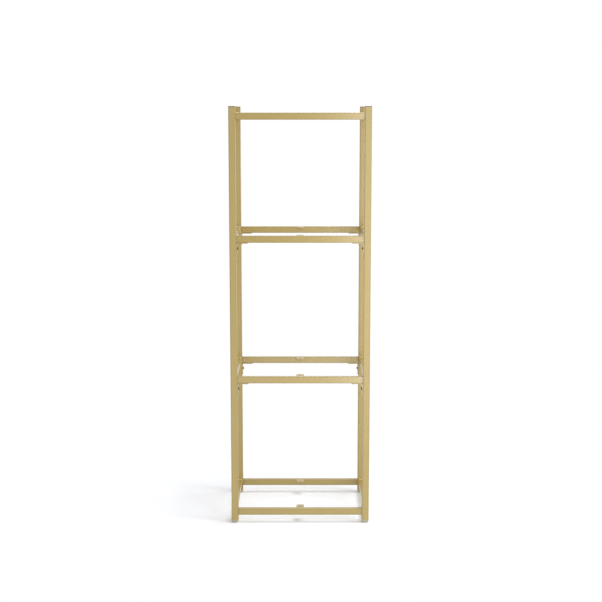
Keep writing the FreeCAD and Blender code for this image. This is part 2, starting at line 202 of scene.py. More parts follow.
class Shader:
    """A material or world made node by node."""

    def __init__(self, owner):
        owner.use_nodes = True
        self.owner = owner
        self.tree = owner.node_tree
        self.tree.nodes.clear()

    def add(self, kind, settings=None, sockets=None, output=0):
        """Adds a node, applies its settings, then its sockets' values or links. Returns one output."""
        node = self.tree.nodes.new(kind)
        for name, value in (settings or {}).items():
            setattr(node, name, value)
        for name, value in (sockets or {}).items():
            if isinstance(value, Wire):
                self.tree.links.new(value.socket, node.inputs[name])
            else:
                node.inputs[name].default_value = value
        return Wire(self, node.outputs[output]) if node.outputs else None

    def place(self, output="Object"):
        """Where a point is in the object's own metres, or else another output of Texture Coordinate."""
        return self.add("ShaderNodeTexCoord", output=output)

    def vector_math(self, operation, *values, output=0):
        """One Vector Math node on these values."""
        return self.add("ShaderNodeVectorMath", {"operation": operation}, dict(enumerate(values)), output)

    def noise(self, place, size, detail=2.0, roughness=0.5):
        """Soft noise from 0 to 1 with features of a size in metres."""
        sockets = {"Vector": place, "Scale": 1 / size, "Detail": detail, "Roughness": roughness}
        return self.add("ShaderNodeTexNoise", None, sockets)

    def patches(self, place, size, detail, start, full):
        """Ragged patches of a size in metres: 1 inside them, 0 between them."""
        return self.noise(place, size, detail, PATCH_RAGGEDNESS).smooth(start, full)

    def flakes(self, place, size):
        """A random value from 0 to 1 for each cell of a size in metres."""
        cells = self.add("ShaderNodeTexVoronoi", None, {"Vector": place, "Scale": 1 / size}, "Color")
        return self.add("ShaderNodeSeparateColor", None, {0: cells})

    def toned(self, colour, factor):
        """A property's colour made lighter or darker by a varying factor."""
        return self.add("ShaderNodeVectorMath", {"operation": "SCALE"}, {0: colour, "Scale": factor})

    def blended(self, factor, first, second):
        """A varying colour mixed with a property's colour, which shows in full where the factor is 1."""
        sockets = {0: factor, 6: first, 7: (*second, 1)}
        return self.add("ShaderNodeMix", {"data_type": "RGBA"}, sockets, 2)

    def axes(self, vector):
        """The three parts of a vector."""
        parts = self.add("ShaderNodeSeparateXYZ", None, {0: vector})
        node = parts.socket.node
        return [Wire(self, socket) for socket in node.outputs]

    def rim(self):
        """0 on faces square to an axis, 1 on the rounded edges between them."""
        x, y, z = self.axes(self.vector_math("ABSOLUTE", self.place("Normal")))
        return (1 - x.larger(y).larger(z)).smooth(RIM_START, RIM_FULL)

    def upward(self):
        """1 on faces that look up, 0 on those that look sideways or down."""
        return self.axes(self.place("Normal"))[2].smooth(UPWARD_START, 1.0)

    def inset(self, half_size):
        """How far in from the nearest long edge of a tube a point on its faces lies, in metres."""
        signed = self.vector_math("MULTIPLY_ADD", self.place("Generated"), (2, 2, 2), (-1, -1, -1))
        from_side = self.vector_math("SUBTRACT", (1, 1, 1), self.vector_math("ABSOLUTE", signed))
        x, y, z = self.axes(self.vector_math("MULTIPLY", from_side, half_size))
        return x.larger(y).larger(z)

    def seam(self, place, grain, reach, width):
        """1 in the last bit of a tube's length before it meets another piece, where the joint's painted
        shadow goes, 0 along the rest.
        """
        along = self.vector_math("DOT_PRODUCT", place, grain, output="Value")
        return abs(along).smooth(reach - width, reach - width / 2)

    def bump(self, height, strength, depth):
        """A normal disturbed by a height from 0 to 1 over a depth in metres."""
        return self.add("ShaderNodeBump", None, {"Height": height, "Strength": strength, "Distance": depth})

    def finish(self, **sockets):
        """Ends a material in a Principled shader whose sockets are named with underscores for spaces."""
        named = {}
        for name, value in sockets.items():
            named[name.replace("_", " ").title().replace("Ior", "IOR")] = value
        surface = self.add("ShaderNodeBsdfPrincipled", None, named)
        self.end("ShaderNodeOutputMaterial", surface)
        return self.owner

    def end(self, kind, surface):
        """Links a surface to the output node."""
        self.add(kind, None, {"Surface": surface})


def satin_gold(name, settings, coat_roughness, grain, half_size=None, reach=0):
    """Satin gold lacquer over drawn steel. The faint draw lines run along grain. A tube has a half size, 0
    along its grain, and reach is how far from the origin it ends in an open seam, 0 where it has none."""
    shader = Shader(bpy.data.materials.new(name))
    place = shader.place()
    stretched = shader.vector_math("MULTIPLY", place, Vector((1, 1, 1)) - (1 - DRAW_SHARE) * grain)
    lines = shader.noise(stretched, settings.draw_line_width, detail=3, roughness=0.6)
    cloud = shader.noise(place, settings.cloud_width, detail=3)
    flakes = shader.flakes(place, settings.flake_size)
    peel = shader.noise(place, settings.peel_size, detail=1)
    rim = shader.rim()
    rubbed = rim * shader.patches(place, settings.rub_size, *RUB_PATCHES)
    dust = shader.upward() * shader.patches(place, settings.dust_size, *DUST_PATCHES)

    tone = 1 + cloud.swing(settings.cloud_tone) + flakes.swing(settings.flake_tone)
    # Painted highlight: the rounded edges are lightened to stand in for the light that they catch.
    tone = tone + lines.swing(settings.line_tone) + settings.painted_rim_highlight * rim
    # Painted shade: a band along each long edge of a tube is darkened to stand in for its reflection
    # falling off towards the edge.
    if half_size is not None:
        inset = shader.inset(half_size)
        tone = tone * (1 - settings.painted_edge_shade * (1 - inset.smooth(0, settings.edge_width)))
    # Painted shadow: the last bit of a tube before a joint is darkened to stand in for the shade in the
    # joint's gap.
    if reach:
        tone = tone * (1 - settings.painted_seam_shadow * shader.seam(place, grain, reach, settings.painted_seam_shadow_width))
    colour = shader.toned(settings.gold, tone)
    colour = shader.blended(rubbed * settings.rub_amount, colour, settings.rubbed_gold)
    colour = shader.blended(dust * settings.dust_amount, colour, settings.dust)

    cloud_roughness, line_roughness, dust_roughness, rim_gloss = 0.10, 0.06, 0.10, 0.04
    roughness = settings.gold_roughness + cloud.swing(cloud_roughness) + lines.swing(line_roughness)
    roughness = roughness + dust_roughness * settings.dust_amount * dust - rim_gloss * rim
    peel_share, line_share, flake_share = 0.6, 0.25, 0.15
    height = peel_share * peel + line_share * lines + flake_share * flakes
    return shader.finish(
        base_color=colour, metallic=settings.gold_metallic, roughness=roughness,
        coat_weight=settings.coat, coat_roughness=coat_roughness, coat_ior=settings.coat_ior,
        normal=shader.bump(height, settings.peel_strength, settings.peel_depth))


def dark_steel(name, settings):
    """Black oxide on steel screws, rubbed to a browner, brighter tone on the edges."""
    shader = Shader(bpy.data.materials.new(name))
    place = shader.place()
    cloud_width, cloud_tone, cloud_roughness = 2.5 * MM, 0.4, 0.18
    grit_width, grit_tone, grit_roughness, grit_strength, grit_depth = 0.25 * MM, 0.2, 0.1, 0.3, 0.02 * MM
    cloud = shader.noise(place, cloud_width, detail=3)
    grit = shader.noise(place, grit_width)
    tone = 1 + cloud.swing(cloud_tone) + grit.swing(grit_tone)
    colour = shader.toned(settings.dark_steel, tone)
    rubbed = settings.rubbed_steel_amount * shader.rim() * cloud
    colour = shader.blended(rubbed, colour, settings.rubbed_steel)
    roughness = settings.dark_steel_roughness + cloud.swing(cloud_roughness) + grit.swing(grit_roughness)
    return shader.finish(
        base_color=colour, metallic=settings.dark_steel_metallic, roughness=roughness,
        normal=shader.bump(grit, grit_strength, grit_depth))


def zinc_steel(name, settings):
    """Zinc plating with a faint spangle, tinted in patches."""
    shader = Shader(bpy.data.materials.new(name))
    place = shader.place()
    spangle_width, spangle_tone, spangle_roughness = 1.2 * MM, 0.1, 0.12
    grit_width, grit_roughness, grit_strength, grit_depth = 0.3 * MM, 0.1, 0.25, 0.02 * MM
    cloud_width, cloud_tone, plain_tone = 6 * MM, 0.12, 0.92
    spangle = shader.flakes(place, spangle_width)
    grit = shader.noise(place, grit_width)
    cloud = shader.noise(place, cloud_width, detail=3)
    tone = plain_tone + spangle_tone * spangle + cloud.swing(cloud_tone)
    colour = shader.toned(settings.zinc, tone)
    colour = shader.blended(settings.zinc_tint_amount * cloud, colour, settings.zinc_tint)
    roughness = settings.zinc_roughness + spangle_roughness * spangle + grit.swing(grit_roughness)
    return shader.finish(
        base_color=colour, metallic=1.0, roughness=roughness,
        normal=shader.bump(grit, grit_strength, grit_depth))


def moulded_plastic(name, settings, colour):
    """Matte moulded plastic with a spark-eroded grain and scuffs on its edges."""
    shader = Shader(bpy.data.materials.new(name))
    place = shader.place()
    grain_width, grain_tone, grain_strength, grain_depth = 0.35 * MM, 0.08, 0.35, 0.03 * MM
    cloud_width, cloud_tone, cloud_roughness = 9 * MM, 0.12, 0.12
    scuff_width, scuff_roughness = 1.5 * MM, 0.08
    grain = shader.noise(place, grain_width, detail=3, roughness=0.6)
    cloud = shader.noise(place, cloud_width, detail=3)
    scuff = shader.patches(place, scuff_width, *SCUFF_PATCHES) * shader.rim()
    tone = 1 + cloud.swing(cloud_tone) + grain.swing(grain_tone)
    toned = shader.toned(colour, tone)
    toned = shader.blended(settings.scuff_amount * scuff, toned, settings.scuff)
    roughness = settings.plastic_roughness + cloud.swing(cloud_roughness) + scuff_roughness * scuff
    return shader.finish(
        base_color=toned, roughness=roughness, normal=shader.bump(grain, grain_strength, grain_depth))


def colour_property(name, description, default):
    """A colour that a user can change."""
    return bpy.props.FloatVectorProperty(
        name=name, description=description, subtype="COLOR", size=3, min=0, max=1, default=default)


def length_property(name, description, default):
    """A length that a user can change."""
    return bpy.props.FloatProperty(
        name=name, description=description, default=default, min=0, subtype="DISTANCE", unit="LENGTH")


def power_property(name, description, default):
    """The power of a lamp."""
    return bpy.props.FloatProperty(name=name, description=description, default=default, min=0, unit="POWER")


def share_property(name, description, default):
    """An amount from 0 to 1 that a user can change."""
    return bpy.props.FloatProperty(
        name=name, description=description, default=default, min=0, max=1, subtype="FACTOR")


class FinishSettings(bpy.types.PropertyGroup):
    """Colours and textures of the unit's finishes."""

    gold: colour_property("Gold", "Colour of the gold lacquer", (0.350, 0.242, 0.018))
    gold_metallic: share_property("Gold metal", "How metallic the gold lacquer is", 0.85)
    gold_roughness: share_property("Gold roughness", "Roughness of the gold lacquer", 0.66)
    coat: share_property("Clear coat", "Weight of the clear coat over the gold", 1.0)
    rail_coat_roughness: share_property("Rail coat roughness", "Roughness of the rails' clear coat", 0.30)
    post_coat_roughness: share_property("Post coat roughness", "Roughness of the posts' clear coat", 0.50)
    coat_ior: bpy.props.FloatProperty(
        name="Coat index", description="Refractive index of the clear coat", default=2.05,
        min=1, max=3, subtype="FACTOR")
    cap_gold: colour_property("Cap gold", "Colour of the posts' caps", (0.12, 0.09, 0.05))
    cloud_width: length_property("Tone patch", "Width of the slow changes of tone", 0.09)
    cloud_tone: share_property("Tone change", "How much the gold's tone changes slowly", 0.08)
    flake_size: length_property("Flake", "Size of the lacquer's metal flakes", 0.35 * MM)
    flake_tone: share_property("Flake change", "How much the flakes differ in tone", 0.13)
    draw_line_width: length_property("Draw line", "Width of the tube's draw lines", 1.1 * MM)
    line_tone: share_property("Draw line change", "How much the draw lines differ in tone", 0.10)
    # Painted highlight: how much the rounded edges are lightened in place of the light that they catch.
    painted_rim_highlight: share_property("Edge", "How much lighter the lacquer is on rounded edges", 0.60)
    # Painted shade: the width of a band along each tube edge, and how much it is darkened, standing in for
    # the reflection's fall-off.
    edge_width: length_property("Edge band", "Width of the darker band along a tube's edge", 5.5 * MM)
    painted_edge_shade: share_property("Edge band shade", "How much darker that band is at the edge", 0.32)
    # Painted shadow: a dark line where a tube meets the next piece, standing in for the shade in the joint.
    painted_seam_shadow_width: length_property("Seam", "Width of the dark line where a tube meets the next", 1.3 * MM)
    painted_seam_shadow: share_property("Seam shade", "How dark that line is", 0.75)
    rubbed_gold: colour_property("Rubbed gold", "Colour of the lacquer on rubbed edges", (0.48, 0.39, 0.17))
    rub_size: length_property("Rub", "Size of the rubbed spots on edges", 6 * MM)
    rub_amount: share_property("Rub amount", "How strongly the edges are rubbed", 0.35)
    peel_size: length_property("Orange peel", "Size of the lacquer's orange peel", 1.8 * MM)
    peel_depth: length_property("Orange peel depth", "Depth of the lacquer's orange peel", 0.03 * MM)
    peel_strength: share_property("Orange peel strength", "How strongly the orange peel shows", 0.25)
    dust: colour_property("Dust", "Colour of the dust on upward faces", (0.62, 0.58, 0.50))
    dust_size: length_property("Dust patch", "Size of the patches of dust", 7 * MM)
    dust_amount: share_property("Dust amount", "How much dust lies on upward faces", 0.10)
    dark_steel: colour_property("Black oxide", "Colour of the screws", (0.045, 0.038, 0.030))
    dark_steel_metallic: share_property("Oxide metal", "How metallic the screws are", 0.9)
    dark_steel_roughness: share_property("Oxide roughness", "Roughness of the screws", 0.36)
    rubbed_steel: colour_property("Rubbed oxide", "Colour of the screws' rubbed edges", (0.16, 0.13, 0.10))
    rubbed_steel_amount: share_property("Oxide rub", "How strongly the screws' edges are rubbed", 0.35)
    zinc: colour_property("Zinc", "Colour of the plated steel", (0.58, 0.58, 0.57))
    zinc_roughness: share_property("Zinc roughness", "Roughness of the plating", 0.30)
    zinc_tint: colour_property("Zinc tint", "Tint of the plating's passivation", (0.50, 0.53, 0.58))
    zinc_tint_amount: share_property("Zinc tint amount", "How strongly the plating is tinted", 0.25)
    plastic: colour_property("Plastic", "Colour of the feet and inserts", (0.50, 0.49, 0.41))
    plastic_roughness: share_property("Plastic roughness", "Roughness of the plastic", 0.58)
    scuff: colour_property("Scuff", "Colour of scuffs on plastic", (0.66, 0.65, 0.60))
    scuff_amount: share_property("Scuff amount", "How strongly edges are scuffed", 0.30)


class FootSettings(bpy.types.PropertyGroup):
    """Sizes of the levelling feet."""

    rod_diameter: length_property("Rod", "Diameter of the stem over its thread", 8 * MM)
    thread_pitch: length_property("Pitch", "Rise of the stem's thread in one turn", 1.25 * MM)
    thread_depth: length_property("Thread depth", "Depth of the stem's thread", 0.62 * MM)
    collar_width: length_property("Collar", "Width of the stem's hexagon collar across its flats", 17 * MM)
    collar_base: length_property("Collar base", "Height of the collar's underside over the floor", 5.3 * MM)
    collar_height: length_property("Collar height", "Thickness of the hexagon collar", 2.5 * MM)
    collar_chamfer: length_property("Collar chamfer", "Height of the chamfers on its corners", 0.5 * MM)
    rod_point: length_property("Rod point", "Chamfer on the ends of the rod", 0.9 * MM)
    pad_edge: length_property("Pad edge", "Radius of the pad's lower edge", 1.8 * MM)
    pad_rim: length_property("Pad rim", "Radius of the pad's upper edge", 0.7 * MM)
    socket_diameter: length_property("Socket", "Diameter of the pad's socket for the stem", 8.16 * MM)
    socket_floor: length_property("Socket floor", "Height of the socket's floor over the ground", 1.7 * MM)
    socket_chamfer: length_property("Socket chamfer", "Chamfer at the socket's mouth", 0.4 * MM)


class FastenerSettings(bpy.types.PropertyGroup):
    """Sizes of the button head bolts that hold the brackets to the posts."""

    head_diameter: length_property("Head", "Diameter of the bolt's head", 10.5 * MM)
    head_height: length_property("Head height", "Height of the bolt's head", 3.3 * MM)
    head_rim: length_property("Head rim", "Height of the upright rim under the dome", 0.5 * MM)
    crown_diameter: length_property("Crown", "Diameter of the flat on top of the head", 5.6 * MM)
    socket_width: length_property("Socket", "Width of the hexagon socket across its flats", 4 * MM)
    socket_depth: length_property("Socket depth", "Depth of the hexagon socket", 2 * MM)
    socket_lead: length_property("Socket lead", "Depth of the round lead into the socket", 0.3 * MM)
    shank_diameter: length_property("Shank", "Diameter of the bolt over its thread", 6 * MM)
    shank_length: length_property("Shank length", "Length of the bolt under its head", 12 * MM)
    thread_pitch: length_property("Pitch", "Rise of the bolt's thread in one turn", 1 * MM)
    thread_depth: length_property("Thread depth", "Depth of the bolt's thread", 0.5 * MM)


class WeldSettings(bpy.types.PropertyGroup):
    """Sizes of the small fillet welds, lacquered over with the tubes."""

    rail_leg: length_property("Rail bead", "Leg of the bead round a side rail's end", 1.7 * MM)
    tab_leg: length_property("Tab bead", "Leg of the bead under a shelf tab", 1.6 * MM)
    bracket_leg: length_property("Bracket bead", "Leg of the bead at a bracket's tip", 1.6 * MM)
    ripple: length_property("Ripple", "Distance between the beads' ripples", 2.1 * MM)
    ripple_share: share_property("Ripple height", "How much a ripple swells the bead", 0.05)


class StageSettings(bpy.types.PropertyGroup):
    """The studio round the unit: floor, light and camera."""

    floor_radius: length_property("Floor", "Radius of the floor", 9.0)
    floor_colour: colour_property("Floor colour", "Colour of the floor", (0.81, 0.82, 0.845))
    floor_lift: share_property("Floor lift", "Light added to the floor as the camera sees it", 0.10)
    shadow_radius: length_property("Shadow", "Radius within which the floor shows its shadow in full", 0.33)
    white_radius: length_property("White", "Radius beyond which the floor is plain white", 0.95)
    world_strength: share_property("Sky", "Strength of the even light from all round", 0.63)
    key_power: power_property("Key", "Power of the soft box above the unit, to its right", 320)
    card_power: power_property("Card", "Power of the narrow upright soft box in front on the right", 7.1)
    low_power: power_property("Low", "Power of the long soft box low in front", 1.4)
    side_power: power_property("Side", "Power of the tall soft box on the right", 32)
    camera_across: length_property("Camera across", "How far right of the middle the camera is", 0.003)
    camera_back: length_property("Camera distance", "How far in front of the middle the camera is", 4.426)
    camera_height: length_property("Camera height", "Height of the camera", 1.515)
    camera_tilt: bpy.props.FloatProperty(
        name="Camera tilt", description="How far the camera looks down", default=math.radians(8.384),
        subtype="ANGLE", unit="ROTATION")
    camera_lens: bpy.props.FloatProperty(
        name="Lens", description="Focal length of the camera", default=70.8, unit="CAMERA")
    camera_shift: bpy.props.FloatProperty(
        name="Shift", description="Vertical shift of the lens, as a share of the picture", default=-0.024,
        min=-1, max=1, subtype="FACTOR")


def finished(name, make, *values):
    """The material of this name, made the first time that it is asked for."""
    return bpy.data.materials.get(name) or make(name, *values)


def paint(nodes, material):
    """Gives CAD nodes a material."""
    for name in nodes:
        node = frame["nodes"][name]
        for entry in node.material_slots:
            entry.material = material


def add_skin(form, rings, looped=False):
    """Joins rings of points by faces. A looped skin also joins the last ring to the first. Any other gets
    a face at each end."""
    rows = [[form.verts.new(point) for point in ring] for ring in rings]
    for low, high in zip(rows, rows[1:] + (rows[:1] if looped else [])):
        for number, point in enumerate(low):
            after = (number + 1) % len(low)
            form.faces.new((point, low[after], high[after], high[number]))
    if not looped:
        form.faces.new(rows[0])
        form.faces.new(rows[-1])


def add_piece(name, form, material, body, creases=()):
    """Turns a form into a piece that rides on a body and takes a material. Creases are heights
    whose level edges stay sharp."""
    bmesh.ops.recalc_face_normals(form, faces=form.faces)
    mesh = bpy.data.meshes.new(name)
    form.to_mesh(mesh)
    form.free()
    mesh.materials.append(material)
    mesh.shade_smooth()
    mesh.set_sharp_from_angle(angle=SHARP_ANGLE)
    for edge in mesh.edges:
        start, stop = [mesh.vertices[number].co.z for number in edge.vertices]
        if any(max(abs(start - height), abs(stop - height)) < CREASE_REACH for height in creases):
            edge.use_edge_sharp = True
    piece = bpy.data.objects.new(name, mesh)
    bpy.context.scene.collection.objects.link(piece)
    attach(piece, body)
    return piece


def turned_ring(radius, height, flats=0):
    """A ring round the Z axis. With flats it is a polygon of that many sides, and the radius is its half
    width across them."""
    points = []
    for number in range(TURNED_SIDES):
        angle = FULL_TURN * number / TURNED_SIDES
        reach = radius
        if flats:
            reach = radius / math.cos(angle % (FULL_TURN / flats) - math.pi / flats)
        points.append(Vector((reach * math.cos(angle), reach * math.sin(angle), height)))
    return points


def arc_rings(middle_radius, middle_height, radius, rise, start, stop, steps):
    """Rings along an arc of a turned outline, reaching out by a radius and up by a rise. Angles are in
    degrees up from straight out."""
    rings = []
    for number in range(steps + 1):
        angle = math.radians(start + (stop - start) * number / steps)
        reach = middle_radius + radius * math.cos(angle)
        rings.append(turned_ring(reach, middle_height + rise * math.sin(angle)))
    return rings


def thread_rings(radius, depth, pitch, start, stop):
    """Rings of a right hand thread on the Z axis that runs out at both ends."""
    rings = []
    count = round(abs(stop - start) / pitch * RINGS_PER_PITCH)
    for row in range(count + 1):
        height = start + (stop - start) * row / count
        run_out = min(1, abs(height - start) / pitch, abs(stop - height) / pitch)
        ring = []
        for number, point in enumerate(turned_ring(1, height)):
            phase = (height / pitch - number / TURNED_SIDES) % 1
            from_crest = abs(2 * phase - 1)
            crest = 1 - min(1, max(0, (from_crest - CREST_SHARE) / (ROOT_SHARE - CREST_SHARE)))
            reach = radius - depth * (1 - crest * run_out)
            ring.append(Vector((reach * point.x, reach * point.y, height)))
        rings.append(ring)
    return rings


def placed(rings, place):
    """Rings moved and turned by a matrix."""
    return [[place @ point for point in ring] for ring in rings]


def add_bead(form, path, legs, leg, welds, looped):
    """A fillet weld along a path in a corner. Each point has the directions of its two legs."""
    lengths = [0.0]
    for before, point in zip(path, path[1:]):
        lengths.append(lengths[-1] + (point - before).length)
    rings = []
    for point, (first, second), length in zip(path, legs, lengths):
        swell = 1 + welds.ripple_share * math.sin(FULL_TURN * length / welds.ripple)
        swell += BEAD_WANDER * noise.noise(point / WANDER_LENGTH)
        if not looped:
            swell *= min(1, max(BEAD_TIP, length / leg), max(BEAD_TIP, (lengths[-1] - length) / leg))
        rings.append([point + leg * swell * (along * first + out * second) for along, out in BEAD_OUTLINE])
    add_skin(form, rings, looped)


class SHELVING_OT_finish_tubes(bpy.types.Operator):
    """Lacquer the posts, rails, tabs and brackets in satin gold"""

    bl_idname = "shelving.finish_tubes"
    bl_label = "Finish Tubes"

    def execute(self, context):
        settings = context.scene.shelving_finishes
        half, reach = self.tube("post_front_left", Z_AXIS)
        smooth, rough = settings.rail_coat_roughness, settings.post_coat_roughness
        upright = finished("satin_gold_upright", satin_gold, settings, rough, Z_AXIS, half, reach)
        half, reach = self.tube("front_rail_top", X_AXIS)
        across = finished("satin_gold_across", satin_gold, settings, smooth, X_AXIS, half, reach)
        half, _ = self.tube("side_rail_left_top", Y_AXIS)
        deep = finished("satin_gold_deep", satin_gold, settings, smooth, Y_AXIS, half)
        sheet = finished("satin_gold_sheet", satin_gold, settings, smooth, Y_AXIS)
        paint(["post_" + corner for corner in CORNERS], upright)
        paint([face + "_rail_" + level for face in FACES for level in LEVELS], across)
        paint(["side_rail_%s_%s" % (side, level) for side in SIDES for level in LEVELS], deep)
        tabs = ["shelf_tab_%s_%s" % (face, level) for face in FACES for level in SHELF_LEVELS]
        brackets = ["rail_bracket_%s_%s" % (corner, level)
                    for corner in CORNERS for level in BRACKET_LEVELS]
        paint(tabs + brackets, sheet)
        return {"FINISHED"}

    def tube(self, node, grain):
        """Half of a tube's size, 0 along its grain, and how far along the grain it reaches."""
        low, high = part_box(node)
        half = (high - low) / 2
        return half - half.dot(grain) * grain, high.dot(grain)


class SHELVING_OT_finish_caps(bpy.types.Operator):
    """Finish the posts' caps in a darker gold"""

    bl_idname = "shelving.finish_caps"
    bl_label = "Finish Caps"

    def execute(self, context):
        settings = context.scene.shelving_finishes
        material = finished("cap_gold", moulded_plastic, settings, settings.cap_gold)
        paint(["post_cap_" + corner for corner in CORNERS], material)
        return {"FINISHED"}


class SHELVING_OT_finish_hardware(bpy.types.Operator):
    """Finish the set screws, the weld nuts and spigots, and the feet's inserts"""

    bl_idname = "shelving.finish_hardware"
    bl_label = "Finish Hardware"

    def execute(self, context):
        settings = context.scene.shelving_finishes
        dark = finished("black_oxide", dark_steel, settings)
        zinc = finished("zinc_plate", zinc_steel, settings)
        grey = finished("foot_plastic", moulded_plastic, settings, settings.plastic)
        paint(["spigot_screws_" + level for level in SPIGOT_LEVELS], dark)
        paint(["rail_spigots_" + level for level in SPIGOT_LEVELS], zinc)
        paint(["post_weld_nuts_" + level for level in BRACKET_LEVELS], zinc)
        paint(["foot_insert_" + corner for corner in CORNERS], grey)
        return {"FINISHED"}


class SHELVING_OT_add_levelling_stems(bpy.types.Operator):
    """Add the threaded stems with hexagon collars of the levelling feet"""

    bl_idname = "shelving.add_levelling_stems"
    bl_label = "Add Levelling Stems"

    def execute(self, context):
        feet = context.scene.shelving_feet
        zinc = finished("zinc_plate", zinc_steel, context.scene.shelving_finishes)
        rod = feet.rod_diameter / 2
        core = rod - feet.thread_depth
        flat = feet.collar_width / 2
        base, top = feet.collar_base, feet.collar_base + feet.collar_height
        for corner in CORNERS:
            node = "levelling_stem_" + corner
            low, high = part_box(node)
            rings = [
                turned_ring(rod - feet.rod_point, low.z),
                turned_ring(rod, low.z + feet.rod_point),
                turned_ring(rod, base),
                turned_ring(COLLAR_FACE_SHARE * flat, base),
                turned_ring(flat, base + feet.collar_chamfer, HEXAGON_SIDES),
                turned_ring(flat, top - feet.collar_chamfer, HEXAGON_SIDES),
                turned_ring(COLLAR_FACE_SHARE * flat, top),
                turned_ring(core, top),
            ]
            start, stop = top + COLLAR_RELIEF, high.z - feet.rod_point
            rings += thread_rings(rod, feet.thread_depth, feet.thread_pitch, start, stop)
            rings.append(turned_ring(core - feet.rod_point / 2, high.z))
            form = bmesh.new()
            add_skin(form, placed(rings, Matrix.Translation(point_under(low, high))))
            name, body = "threaded_stem_" + corner, "stem_" + corner
            stem = add_piece(name, form, zinc, body, creases=(base, top))
            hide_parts(node)
        return {"FINISHED"}


class SHELVING_OT_add_glide_pads(bpy.types.Operator):
    """Add the moulded pads of the levelling feet"""

    bl_idname = "shelving.add_glide_pads"
    bl_label = "Add Glide Pads"

    def execute(self, context):
        feet = context.scene.shelving_feet
        settings = context.scene.shelving_finishes
        grey = finished("foot_plastic", moulded_plastic, settings, settings.plastic)
        socket = feet.socket_diameter / 2
        for corner in CORNERS:
            node = "glide_pad_" + corner
            low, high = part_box(node)
            radius = (high.x - low.x) / 2
            edge, rim = feet.pad_edge, feet.pad_rim
            rings = arc_rings(radius - edge, edge, edge, edge, -90, 0, PAD_EDGE_STEPS)
            rings += arc_rings(radius - rim, high.z - rim, rim, rim, 0, 90, PAD_RIM_STEPS)
            rings.append(turned_ring(socket + feet.socket_chamfer, high.z))
            rings.append(turned_ring(socket, high.z - feet.socket_chamfer))
            rings.append(turned_ring(socket, feet.socket_floor))
            form = bmesh.new()
            add_skin(form, placed(rings, Matrix.Translation(point_under(low, high))))
            pad = add_piece("moulded_pad_" + corner, form, grey, "pad_" + corner)
            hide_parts(node)
        return {"FINISHED"}


class SHELVING_OT_add_bracket_bolts(bpy.types.Operator):
    """Add the button head bolts that hold the brackets to the posts"""

    bl_idname = "shelving.add_bracket_bolts"
    bl_label = "Add Bracket Bolts"

    def execute(self, context):
        bolts = context.scene.shelving_fasteners
        dark = finished("black_oxide", dark_steel, context.scene.shelving_finishes)
        shank = bolts.shank_diameter / 2
        crown = bolts.crown_diameter / 2
        head = bolts.head_diameter / 2
        flat = bolts.socket_width / 2
        top = bolts.head_height
        core = shank - bolts.thread_depth
        tip = -bolts.shank_length
        start, stop = tip + bolts.thread_depth, -HEAD_RELIEF
        rings = [turned_ring(core - bolts.thread_depth, tip)]
        rings += thread_rings(shank, bolts.thread_depth, bolts.thread_pitch, start, stop)
        rings.append(turned_ring(core, 0))
        rings.append(turned_ring(head - HEAD_CHAMFER, 0))
        rings.append(turned_ring(head, HEAD_CHAMFER))
        rings += arc_rings(crown, bolts.head_rim, head - crown, top - bolts.head_rim, 0, 90, DOME_STEPS)
        rings.append(turned_ring(flat / math.cos(math.pi / HEXAGON_SIDES), top))
        rings.append(turned_ring(flat, top - bolts.socket_lead, HEXAGON_SIDES))
        rings.append(turned_ring(flat, top - bolts.socket_depth, HEXAGON_SIDES))
        rings.append(turned_ring(CONE_TIP_SHARE * flat, top - CONE_DEPTH_SHARE * bolts.socket_depth))
        for level in BRACKET_LEVELS:
            node = "bracket_bolts_" + level
            low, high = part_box(node)
            form = bmesh.new()
            for corner in CORNERS:
                face, side = corner.split("_")
                seat = Vector((sign_of(side) * (high.x - bolts.shank_length),
                               sign_of(face) * (high.y - head), middle(low, high).z))
                turn = (-sign_of(side) * X_AXIS).to_track_quat("Z", "Y").to_matrix().to_4x4()
                add_skin(form, placed(rings, Matrix.Translation(seat) @ turn))
            piece = add_piece("button_bolts_" + level, form, dark, "frame")
            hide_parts(node)
        return {"FINISHED"}


